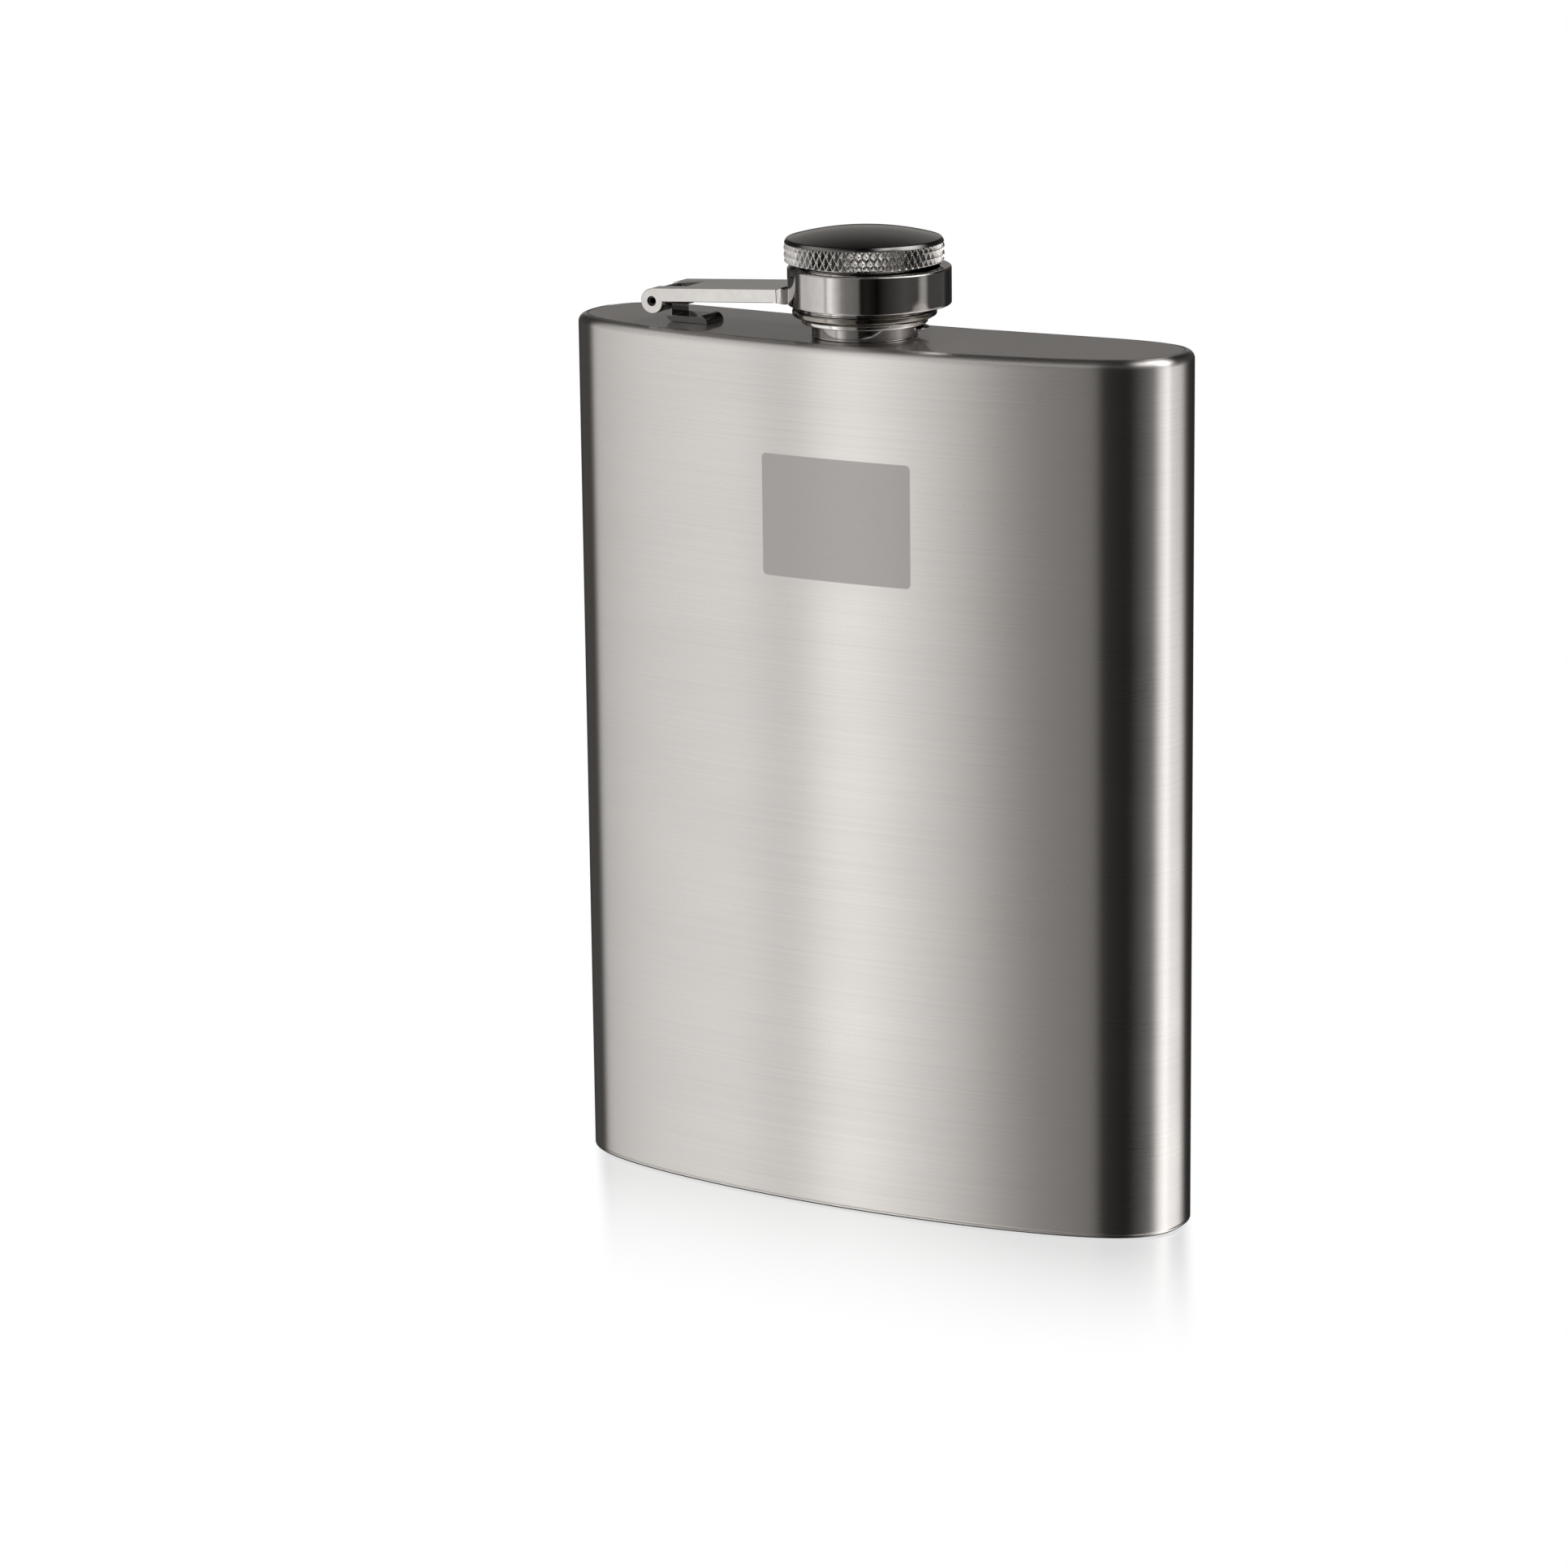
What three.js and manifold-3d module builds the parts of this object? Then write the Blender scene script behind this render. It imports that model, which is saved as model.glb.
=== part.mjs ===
// Stainless steel pocket flask with a captive screw cap.
// Units are millimetres, +Z is up.  The origin is the centre of the base.
// The flask stands on its base with its convex face towards -Y and its
// slightly hollow face towards +Y.  The cap hinge is on the -X side.

import * as THREE from 'three';
import Module from 'manifold-3d';
import { mergeVertices } from 'three/addons/utils/BufferGeometryUtils.js';

// ---------------------------------------------------------------- dimensions

// body
const BODY_H = 122.5;          // base to the top face of the shoulder plate
const WALL = 0.6;              // sheet thickness of the wall
const PLATE_T = 0.8;           // thickness of the top and base plates
const TOP_ROUND = 1.2;         // radius of the rolled upper edge
const BASE_ROUND = 0.4;        // radius of the lower edge
const TOP_SEAM = 1.25;         // how far inside the outline the top seam lies
const SEAM_GAP = 0.05;         // half-open seam between plate and wall

// Half of the body's kidney-shaped section: the control points of a closed
// uniform cubic B-spline, from the middle of the convex front to the middle
// of the hollow back.  The other half is its mirror image.
const HALF_SECTION = [
  [0.000, -12.120], [8.605, -11.865], [17.419, -11.214], [25.879, -10.163],
  [33.705, -8.659], [39.979, -6.664], [44.101, -4.342], [46.585, -1.219],
  [47.166, 2.920], [46.734, 6.994], [44.582, 10.058], [40.918, 11.782],
  [35.844, 12.403], [27.968, 12.070], [18.126, 11.356], [9.031, 10.912],
  [0.000, 10.739],
];

// axis shared by the neck and the cap
const AXIS_Y = -0.985;

// neck (spout)
const NECK_R = 7.3;            // plain part above the plate
const NECK_BORE_R = 6.0;
const NECK_TOP = 9.0;          // rim above the plate
const THREAD_CREST_R = 7.45;
const THREAD_ROOT_R = 6.95;
const THREAD_PITCH = 1.5;
const THREAD_FROM = 2.4;       // above the plate
const THREAD_TURNS = 4;
const NECK_FLANGE_R = 8.6;     // flange welded under the plate
const NECK_FLANGE_T = 0.8;

// cap
const HEAD_R = 11.0;           // over the knurl
const HEAD_BOTTOM = 10.2;      // above the plate
const HEAD_EDGE = 12.9;        // top of the knurled band
const HEAD_SHOULDER = 13.4;    // foot of the dome, above the band's plain lip
const HEAD_TOP = 14.87;        // crown of the dome
const HEAD_WALL = 0.9;
const BARREL_R = 8.7;
const BARREL_BORE_R = 8.2;
const BARREL_BOTTOM = 1.8;     // above the plate
const BARREL_TOP = 11.2;
const COLLAR_R = 9.94;         // retaining collar under the swivel ring
const COLLAR_BOTTOM = 2.4;
const COLLAR_TOP = 3.7;
const SEAL_R = 7.9;
const SEAL_BOTTOM = 9.1;
const SEAL_T = 1.2;

// swivel ring and arm
const RING_R = 11.27;
const RING_BORE_R = 9.65;
const RING_BOTTOM = 4.4;
const RING_TOP = 9.6;
const RING_OFFSET_X = 0.8;     // slack of the ring round the cap, taken to +X
const ARM_W = 10.2;
const ARM_T = 1.85;
const ARM_TOP_AT_PIN = 1.75;   // top face of the arm above the pin's axis
const ARM_SLOPE = 3.4;         // degrees, rising from the pin to the ring
const LOBE_R = 1.75;
const SLOT_W = 4.7;
const SLOT_END = 4.2;          // from the pin's axis
const EAR_HOLE_R = 0.66;

// hinge
const PIN_X = -31.1;
const PIN_Z = 3.2;             // above the plate
const PIN_R = 0.6;
const PIN_L = 9.6;
const STRIP_W = 4.5;           // width of the bracket's strip
const STRIP_T = 0.9;
const CURL_BORE_R = 0.66;
const CURL_R = 1.6;
const POST_X = 0.65;           // from the pin's axis
const BEAD_X = -25.0;          // raised end of the bracket's foot
const BEAD_R = 1.15;

// ------------------------------------------------------------------- helpers

const wasm = await Module();
wasm.setup();

// closed three.js geometry -> solid
function solid(geometry, matrix) {
  let g = geometry.index ? geometry.toNonIndexed() : geometry.clone();
  for (const key of Object.keys(g.attributes)) {
    if (key !== 'position') g.deleteAttribute(key);
  }
  if (matrix) g.applyMatrix4(matrix);
  g = mergeVertices(g, 1e-4);
  const tris = [];
  const idx = g.index.array;
  for (let i = 0; i < idx.length; i += 3) {
    const [a, b, c] = [idx[i], idx[i + 1], idx[i + 2]];
    if (a !== b && b !== c && c !== a) tris.push(a, b, c);
  }
  return new wasm.Manifold(new wasm.Mesh({
    numProp: 3,
    vertProperties: new Float32Array(g.attributes.position.array),
    triVerts: new Uint32Array(tris),
  }));
}

// solid -> three.js geometry
function geometryOf(man) {
  const m = man.getMesh();
  const pos = new Float32Array(m.numVert * 3);
  for (let i = 0; i < m.numVert; i++) {
    for (let k = 0; k < 3; k++) pos[3 * i + k] = m.vertProperties[i * m.numProp + k];
  }
  const g = new THREE.BufferGeometry();
  g.setAttribute('position', new THREE.BufferAttribute(pos, 3));
  g.setIndex(Array.from(m.triVerts));
  g.computeVertexNormals();
  return g;
}

// points of the body's section, moved inwards by `inset`
function section(n, inset = 0) {
  const ctrl = [...HALF_SECTION];
  for (let i = HALF_SECTION.length - 2; i > 0; i--) {
    ctrl.push([-HALF_SECTION[i][0], HALF_SECTION[i][1]]);
  }
  const M = ctrl.length;
  const pts = [];
  for (let k = 0; k < n; k++) {
    const u = (k / n) * M;
    const i = Math.floor(u);
    const f = u - i;
    const w = [(1 - f) ** 3 / 6, (3 * f ** 3 - 6 * f ** 2 + 4) / 6,
      (-3 * f ** 3 + 3 * f ** 2 + 3 * f + 1) / 6, f ** 3 / 6];
    const d = [-((1 - f) ** 2) / 2, (9 * f ** 2 - 12 * f) / 6,
      (-9 * f ** 2 + 6 * f + 3) / 6, f ** 2 / 2];
    let x = 0, y = 0, dx = 0, dy = 0;
    for (let j = 0; j < 4; j++) {
      const c = ctrl[(i - 1 + j + M) % M];
      x += w[j] * c[0]; y += w[j] * c[1];
      dx += d[j] * c[0]; dy += d[j] * c[1];
    }
    const len = Math.hypot(dx, dy);
    // the section runs anticlockwise, so its inward normal is (-dy, dx)
    pts.push(new THREE.Vector2(x - (dy / len) * inset, y + (dx / len) * inset));
  }
  return pts;
}

// a prism of the body's section, with its ends bevelled if asked
function prism(inset, z0, z1, bevel = 0, steps = 2) {
  const shape = new THREE.Shape(section(96, inset));
  const g = new THREE.ExtrudeGeometry(shape, {
    depth: z1 - z0 - 2 * bevel,
    bevelEnabled: bevel > 0,
    bevelThickness: bevel,
    bevelSize: bevel,
    bevelOffset: -bevel,
    bevelSegments: steps,
    curveSegments: 1,
  });
  return solid(g, new THREE.Matrix4().makeTranslation(0, 0, z0 + bevel));
}

// a body of revolution about the vertical line through (x, AXIS_Y);
// the profile is [radius, height above the shoulder plate], anticlockwise
function turned(profile, segments, x = 0) {
  const g = new THREE.LatheGeometry(
    profile.map(([r, z]) => new THREE.Vector2(r, z + BODY_H)), segments);
  // the lathe turns about Y; stand it up along Z
  const m = new THREE.Matrix4().makeTranslation(x, AXIS_Y, 0)
    .multiply(new THREE.Matrix4().makeRotationX(Math.PI / 2));
  return solid(g, m);
}

// a cylinder along Y
function rod(r, length, x, z, segments = 32) {
  const g = new THREE.CylinderGeometry(r, r, length, segments);
  return solid(g, new THREE.Matrix4().makeTranslation(x, AXIS_Y, z));
}

function block(x0, x1, y0, y1, z0, z1) {
  const g = new THREE.BoxGeometry(x1 - x0, y1 - y0, z1 - z0);
  return solid(g, new THREE.Matrix4().makeTranslation(
    (x0 + x1) / 2, (y0 + y1) / 2, (z0 + z1) / 2));
}

const steel = (color, roughness) => new THREE.MeshStandardMaterial(
  { color, roughness, metalness: 1 });
const BRUSHED = steel(0xc9c7c4, 0.32);
const SATIN = steel(0x9b9895, 0.30);
const POLISHED = steel(0xb9b7b5, 0.10);
const SILICONE = new THREE.MeshStandardMaterial(
  { color: 0xdad8d2, roughness: 0.6, metalness: 0 });

const flask = new THREE.Group();
flask.name = 'pocket_flask';
function add(name, man, material) {
  const mesh = new THREE.Mesh(geometryOf(man), material);
  mesh.name = name;
  flask.add(mesh);
}

// ---------------------------------------------------------------------- body

// wall: one rolled strip, its upper edge turned in to meet the top plate
{
  const outside = prism(0, -6, BODY_H, TOP_ROUND, 3)
    .intersect(prism(0, 0, BODY_H + 6, BASE_ROUND, 1));
  const inside = prism(WALL, -1, BODY_H - 1.4)
    .add(prism(TOP_SEAM, BODY_H - 3, BODY_H + 1));
  add('body_shell', outside.subtract(inside), BRUSHED);
}

// shoulder plate, with the hole for the neck
{
  const hole = turned([[0, -3], [NECK_R + 0.1, -3], [NECK_R + 0.1, 1], [0, 1]], 48);
  add('top_plate', prism(TOP_SEAM + SEAM_GAP, BODY_H - PLATE_T, BODY_H).subtract(hole), SATIN);
}

// base plate, flush with the lower edge of the wall
add('base_plate', prism(WALL + SEAM_GAP, 0, PLATE_T), SATIN);

// neck: a threaded tube with a flange that is welded under the plate
{
  const p = [];
  p.push([NECK_BORE_R, -PLATE_T - 0.05 - NECK_FLANGE_T]);
  p.push([NECK_FLANGE_R, -PLATE_T - 0.05 - NECK_FLANGE_T]);
  p.push([NECK_FLANGE_R, -PLATE_T - 0.05]);
  p.push([NECK_R, -PLATE_T - 0.05]);
  p.push([NECK_R, THREAD_FROM - 0.3]);
  for (let i = 0; i < THREAD_TURNS; i++) {
    const z = THREAD_FROM + i * THREAD_PITCH;
    p.push([THREAD_ROOT_R, z]);
    p.push([THREAD_CREST_R, z + THREAD_PITCH / 2 - 0.15]);
    p.push([THREAD_CREST_R, z + THREAD_PITCH / 2 + 0.15]);
  }
  p.push([THREAD_ROOT_R, THREAD_FROM + THREAD_TURNS * THREAD_PITCH]);
  p.push([THREAD_ROOT_R, NECK_TOP - 0.2]);
  p.push([THREAD_ROOT_R - 0.2, NECK_TOP]);
  p.push([NECK_BORE_R + 0.2, NECK_TOP]);
  p.push([NECK_BORE_R, NECK_TOP - 0.2]);
  p.push(p[0]);
  add('neck', turned(p, 48), POLISHED);
}

// --------------------------------------------------------------------- hinge

// bracket: a strip curled round the pin, bent down to the plate and along it,
// with a raised rounded end
{
  const px = PIN_X, pz = BODY_H + PIN_Z, z0 = BODY_H + 0.02;
  const y0 = AXIS_Y - STRIP_W / 2, y1 = AXIS_Y + STRIP_W / 2;
  const foot = block(px + POST_X, BEAD_X, y0, y1, z0, z0 + STRIP_T);
  const post = block(px + POST_X, px + POST_X + STRIP_T, y0, y1, z0, pz);
  const bead = rod(BEAD_R, STRIP_W, BEAD_X, BODY_H, 24)
    .subtract(block(-40, -10, -20, 20, BODY_H - 5, z0));
  const bracket = rod(CURL_R, STRIP_W, px, pz, 32).add(post).add(foot).add(bead)
    .subtract(rod(CURL_BORE_R, STRIP_W + 2, px, pz, 32));
  add('hinge_bracket', bracket, POLISHED);
}

// pin, a little below the faces of the ears at both ends
add('hinge_pin', rod(PIN_R, PIN_L, PIN_X, BODY_H + PIN_Z, 24), POLISHED);

// ----------------------------------------------------------- arm with ring

// arm: a flat bar with two ears round the bracket's curl
{
  const px = PIN_X, pz = BODY_H + PIN_Z;
  const bar = new THREE.Shape([
    [0, ARM_TOP_AT_PIN - ARM_T], [26, ARM_TOP_AT_PIN - ARM_T],
    [26, ARM_TOP_AT_PIN], [0, ARM_TOP_AT_PIN],
  ].map(([x, z]) => new THREE.Vector2(x, z)));
  const g = new THREE.ExtrudeGeometry(bar, { depth: ARM_W, bevelEnabled: false });
  // profile plane -> XZ, thickness centred on the axis, sloping up towards +X
  const slope = new THREE.Matrix4().makeRotationY(-ARM_SLOPE * Math.PI / 180);
  const place = new THREE.Matrix4().makeTranslation(px, AXIS_Y, pz).multiply(slope);
  const upright = new THREE.Matrix4().makeTranslation(0, ARM_W / 2, 0)
    .multiply(new THREE.Matrix4().makeRotationX(Math.PI / 2));
  const flat = solid(g, place.clone().multiply(upright));
  const lobe = rod(LOBE_R, ARM_W, px, pz, 40);
  const slotBox = new THREE.BoxGeometry(SLOT_END + 6, SLOT_W, 8);
  const slot = solid(slotBox, place.clone().multiply(
    new THREE.Matrix4().makeTranslation((SLOT_END - 6) / 2, 0, 0)));
  const hole = rod(EAR_HOLE_R, ARM_W + 2, px, pz, 32);
  const ringCut = turned([[0, -2], [RING_R + 0.05, -2], [RING_R + 0.05, 12], [0, 12]],
    64, RING_OFFSET_X);
  add('captive_arm', flat.add(lobe).subtract(slot).subtract(hole).subtract(ringCut),
    POLISHED);
}

// swivel ring, soldered to the arm
{
  const c = 0.25;
  const p = [
    [RING_BORE_R, RING_BOTTOM], [RING_R - c, RING_BOTTOM], [RING_R, RING_BOTTOM + c],
    [RING_R, RING_TOP - c], [RING_R - c, RING_TOP], [RING_BORE_R, RING_TOP],
    [RING_BORE_R, RING_BOTTOM],
  ];
  add('swivel_ring', turned(p, 64, RING_OFFSET_X), POLISHED);
}

// ----------------------------------------------------------------------- cap

// head: a domed cup with a knurled rim
{
  const a = HEAD_R - 0.35;                       // radius of the dome's foot
  const h = HEAD_TOP - HEAD_SHOULDER;
  const R = (a * a + h * h) / (2 * h);
  const p = [
    [0, HEAD_TOP - HEAD_WALL - 0.2], [HEAD_R - HEAD_WALL - 0.3, HEAD_EDGE - 0.4],
    [HEAD_R - HEAD_WALL, HEAD_EDGE - 1.0], [HEAD_R - HEAD_WALL, HEAD_BOTTOM],
    [HEAD_R - 0.25, HEAD_BOTTOM], [HEAD_R, HEAD_BOTTOM + 0.25],
    [HEAD_R, HEAD_EDGE], [HEAD_R - 0.06, HEAD_SHOULDER - 0.2], [a, HEAD_SHOULDER],
  ];
  const n = 6;
  for (let i = 1; i <= n; i++) {
    const r = a * (1 - i / n);
    p.push([r, HEAD_TOP - R + Math.sqrt(R * R - r * r)]);
  }
  add('cap_head', turned(p, 64), POLISHED);
}

// barrel: closed at the top by a disc that is pressed into the head
{
  const p = [
    [0, BARREL_TOP - 0.8], [BARREL_BORE_R, BARREL_TOP - 0.8],
    [BARREL_BORE_R, BARREL_BOTTOM], [BARREL_R - 0.15, BARREL_BOTTOM],
    [BARREL_R, BARREL_BOTTOM + 0.15], [BARREL_R, HEAD_BOTTOM + 0.2],
    [HEAD_R - HEAD_WALL - 0.1, HEAD_BOTTOM + 0.2],
    [HEAD_R - HEAD_WALL - 0.1, BARREL_TOP], [0, BARREL_TOP],
  ];
  add('cap_barrel', turned(p, 64), POLISHED);
}

// retaining collar, pressed on to the barrel below the swivel ring
{
  const p = [
    [BARREL_R + 0.05, COLLAR_BOTTOM], [BARREL_R + 0.35, COLLAR_BOTTOM],
    [COLLAR_R, COLLAR_BOTTOM + 0.55], [COLLAR_R, COLLAR_TOP - 0.2],
    [COLLAR_R - 0.2, COLLAR_TOP], [BARREL_R + 0.05, COLLAR_TOP],
    [BARREL_R + 0.05, COLLAR_BOTTOM],
  ];
  add('retaining_collar', turned(p, 64), POLISHED);
}

// seal: a silicone disc that closes on the neck's rim
add('cap_seal', turned([[0, SEAL_BOTTOM], [SEAL_R, SEAL_BOTTOM],
  [SEAL_R, SEAL_BOTTOM + SEAL_T], [0, SEAL_BOTTOM + SEAL_T]], 48), SILICONE);

export default flask;
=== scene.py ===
"""Looks for the hip flask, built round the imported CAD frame.  Lengths are worked out
in millimetres and turned into metres when a mesh is made."""

import math

import bmesh
import bpy
import numpy as np
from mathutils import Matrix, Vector
from mathutils.geometry import tessellate_polygon

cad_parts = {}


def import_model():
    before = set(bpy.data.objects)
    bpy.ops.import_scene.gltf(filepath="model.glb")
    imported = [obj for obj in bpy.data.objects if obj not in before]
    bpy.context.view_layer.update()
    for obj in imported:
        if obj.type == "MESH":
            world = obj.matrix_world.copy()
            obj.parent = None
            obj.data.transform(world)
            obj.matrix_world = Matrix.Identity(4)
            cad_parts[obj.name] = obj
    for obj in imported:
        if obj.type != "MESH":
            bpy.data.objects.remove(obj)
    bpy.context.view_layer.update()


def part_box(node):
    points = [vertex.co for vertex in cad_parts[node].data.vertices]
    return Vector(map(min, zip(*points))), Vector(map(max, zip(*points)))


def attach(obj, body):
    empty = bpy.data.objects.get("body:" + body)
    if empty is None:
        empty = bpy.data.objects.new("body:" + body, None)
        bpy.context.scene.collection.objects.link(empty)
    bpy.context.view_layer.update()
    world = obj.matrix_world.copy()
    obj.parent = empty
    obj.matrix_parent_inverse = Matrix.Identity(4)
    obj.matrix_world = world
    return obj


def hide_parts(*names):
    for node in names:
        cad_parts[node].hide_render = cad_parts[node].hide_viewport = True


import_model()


# ------------------------------------------------------------------ from the frame
def node_box(name):
    lo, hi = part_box(name)
    return np.array(lo) * 1000.0, np.array(hi) * 1000.0


H = node_box("top_plate")[1][2]  # top face of the shoulder plate
_h = node_box("cap_head")
AX = (_h[0][0] + _h[1][0]) / 2  # axis of the neck and cap
AY = (_h[0][1] + _h[1][1]) / 2
_r = node_box("swivel_ring")
RX = (_r[0][0] + _r[1][0]) / 2  # the ring sits a little off that axis
_p = node_box("hinge_pin")
PX = (_p[0][0] + _p[1][0]) / 2
PZ = (_p[0][2] + _p[1][2]) / 2 - H
ROOT, ARM, CAP = "flask_body", "arm", "cap"

# half of the body's section: control points of a closed uniform cubic B-spline
HALF = [
    (0.000, -12.120), (8.605, -11.865), (17.419, -11.214), (25.879, -10.163),
    (33.705, -8.659), (39.979, -6.664), (44.101, -4.342), (46.585, -1.219),
    (47.166, 2.920), (46.734, 6.994), (44.582, 10.058), (40.918, 11.782),
    (35.844, 12.403), (27.968, 12.070), (18.126, 11.356), (9.031, 10.912),
    (0.000, 10.739),
]
CTRL = np.array(HALF + [(-x, y) for x, y in HALF[-2:0:-1]])


def section(n):
    """n points of the body's outline, with the inward normal and the arc length."""
    m = len(CTRL)
    u = np.arange(n) / n * m
    i = np.floor(u).astype(int)
    f = (u - i)[:, None]
    w = [(1 - f) ** 3 / 6, (3 * f**3 - 6 * f**2 + 4) / 6,
         (-3 * f**3 + 3 * f**2 + 3 * f + 1) / 6, f**3 / 6]
    d = [-((1 - f) ** 2) / 2, (9 * f**2 - 12 * f) / 6,
         (-9 * f**2 + 6 * f + 3) / 6, f**2 / 2]
    p = sum(w[j] * CTRL[(i - 1 + j) % m] for j in range(4))
    t = sum(d[j] * CTRL[(i - 1 + j) % m] for j in range(4))
    t /= np.linalg.norm(t, axis=1)[:, None]
    nrm = np.c_[-t[:, 1], t[:, 0]]
    s = np.r_[0, np.cumsum(np.linalg.norm(np.diff(p, axis=0), axis=1))]
    return p, nrm, s


# ------------------------------------------------------------------ mesh helpers
def mesh_object(name, verts, faces, smooth=True, angle=32.0, uv=None):
    me = bpy.data.meshes.new(name)
    me.from_pydata([tuple(v) for v in np.asarray(verts) * 0.001], [], [tuple(int(i) for i in f) for f in faces])
    me.validate()
    me.update()
    if uv is not None:
        layer = me.uv_layers.new(name="Brush")
        loops = np.zeros(len(me.loops), np.int32)
        me.loops.foreach_get("vertex_index", loops)
        layer.data.foreach_set("uv", np.asarray(uv, np.float32)[loops].ravel())
    bm = bmesh.new()
    bm.from_mesh(me)
    bmesh.ops.recalc_face_normals(bm, faces=bm.faces)
    bm.to_mesh(me)
    bm.free()
    if smooth:
        me.polygons.foreach_set("use_smooth", [True] * len(me.polygons))
        me.set_sharp_from_angle(angle=math.radians(angle))
    me.update()
    ob = bpy.data.objects.new(name, me)
    bpy.context.scene.collection.objects.link(ob)
    return ob


def rounded(points, closed=True, steps=5):
    """A profile with its corners rounded.  Each point is (a, b) or (a, b, radius)."""
    out = []
    n = len(points)
    for k in range(n):
        p = np.array(points[k][:2], float)
        rad = points[k][2] if len(points[k]) > 2 else 0.0
        if rad <= 0 or (not closed and k in (0, n - 1)):
            out.append(p)
            continue
        a = np.array(points[(k - 1) % n][:2], float) - p
        b = np.array(points[(k + 1) % n][:2], float) - p
        la, lb = np.linalg.norm(a), np.linalg.norm(b)
        a, b = a / la, b / lb
        half = math.acos(max(-1, min(1, float(a @ b)))) / 2
        cut = min(rad / math.tan(half), la * 0.49, lb * 0.49)
        r = cut * math.tan(half)
        c = p + (a + b) / np.linalg.norm(a + b) * (r / math.sin(half))
        s, e = p + a * cut - c, p + b * cut - c
        a0 = math.atan2(s[1], s[0])
        a1 = math.atan2(e[1], e[0])
        da = (a1 - a0 + math.pi) % (2 * math.pi) - math.pi
        for j in range(steps + 1):
            t = a0 + da * j / steps
            out.append(c + r * np.array([math.cos(t), math.sin(t)]))
    return np.array(out)


def supported(profile, closed, gap=0.12):
    """Adds points close to the ends of long straight runs, so smooth shading stays on the rounded corners."""
    out = []
    n = len(profile)
    last = n if closed else n - 1
    for k in range(n):
        p = profile[k]
        out.append(p)
        if k < last:
            q = profile[(k + 1) % n]
            d = np.linalg.norm(q - p)
            if d > 4 * gap:
                out.append(p + (q - p) * gap / d)
                out.append(q - (q - p) * gap / d)
    return np.array(out)


def lathe(name, profile, n=192, cx=None, closed=True, angle=32.0, shift=None):
    """Turns (radius, height over the plate) about the vertical line through (cx, AY).
    An open profile starts and ends on the axis.  shift(theta, r, z) moves points radially."""
    cx = AX if cx is None else cx
    prof = supported(np.array(profile, float), closed)
    th = np.arange(n) * 2 * math.pi / n
    k = len(prof)
    R = np.repeat(prof[:, 0][:, None], n, 1)
    Z = np.repeat(prof[:, 1][:, None], n, 1)
    T = np.repeat(th[None, :], k, 0)
    if shift is not None:
        R = R + shift(T, R, Z)
    V = np.stack([cx + R * np.cos(T), AY + R * np.sin(T), H + Z], -1).reshape(-1, 3)
    faces = []
    rows = range(k if closed else k - 1)
    start = 0
    verts = [tuple(v) for v in V]
    for i in rows:
        i2 = (i + 1) % k
        a0, b0 = prof[i, 0] < 1e-6, prof[i2, 0] < 1e-6
        if a0 and b0:
            continue
        for j in range(n):
            j2 = (j + 1) % n
            A, B, C, D = i * n + j, i * n + j2, i2 * n + j2, i2 * n + j
            if a0:
                faces.append((i * n, C, D))
            elif b0:
                faces.append((A, B, i2 * n))
            else:
                faces.append((A, B, C, D))
    used = sorted({v for f in faces for v in f})
    index = {v: c for c, v in enumerate(used)}
    verts = [verts[v] for v in used]
    faces = [tuple(index[v] for v in f) for f in faces]
    return mesh_object(name, verts, faces, angle=angle)


def sleeve(name, profile, n=720, closed=True, angle=32.0):
    """The body's outline swept along a profile of (inset, height).  UV is (height, distance round from the back)."""
    p, nrm, s = section(n)
    s = np.abs(s - 0.5 * (s[-1] + np.linalg.norm(p[0] - p[-1])))  # the same from both sides, so it has no seam
    prof = np.array(profile, float)
    k = len(prof)
    XY = p[None] + nrm[None] * prof[:, 0][:, None, None]
    Z = np.repeat(prof[:, 1][:, None], n, 1)
    V = np.concatenate([XY, Z[..., None]], -1).reshape(-1, 3)
    uv = np.stack([Z, np.repeat(s[None], k, 0)], -1).reshape(-1, 2)
    faces = []
    for i in range(k if closed else k - 1):
        i2 = (i + 1) % k
        for j in range(n):
            j2 = (j + 1) % n
            faces.append((i * n + j, i * n + j2, i2 * n + j2, i2 * n + j))
    return V, faces, uv


def extrude_y(name, outline, y0, y1, bevel=0.1, segments=3, place=None, angle=32.0):
    """A closed (x, z) outline given thickness along Y, with its edges rounded."""
    bm = bmesh.new()
    lo = [bm.verts.new((x * 0.001, y0 * 0.001, z * 0.001)) for x, z in outline]
    hi = [bm.verts.new((x * 0.001, y1 * 0.001, z * 0.001)) for x, z in outline]
    bm.faces.new(lo)
    bm.faces.new(list(reversed(hi)))
    n = len(outline)
    for i in range(n):
        bm.faces.new((lo[i], hi[i], hi[(i + 1) % n], lo[(i + 1) % n]))
    bmesh.ops.recalc_face_normals(bm, faces=bm.faces)
    me = bpy.data.meshes.new(name)
    bm.to_mesh(me)
    bm.free()
    ob = bpy.data.objects.new(name, me)
    bpy.context.scene.collection.objects.link(ob)
    if place is not None:
        me.transform(place)
    if bevel:
        round_edges(ob, bevel, segments, angle)
    return ob


def round_edges(ob, width, segments=3, angle=32.0, clamp=True):
    m = ob.modifiers.new("edge", "BEVEL")
    m.width = width * 0.001
    m.segments = segments
    m.limit_method = "ANGLE"
    m.angle_limit = math.radians(angle)
    m.use_clamp_overlap = clamp
    m.harden_normals = False
    apply(ob)
    me = ob.data
    me.polygons.foreach_set("use_smooth", [True] * len(me.polygons))
    me.set_sharp_from_angle(angle=math.radians(40))
    w = ob.modifiers.new("normals", "WEIGHTED_NORMAL")
    w.keep_sharp = True
    apply(ob)


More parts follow.
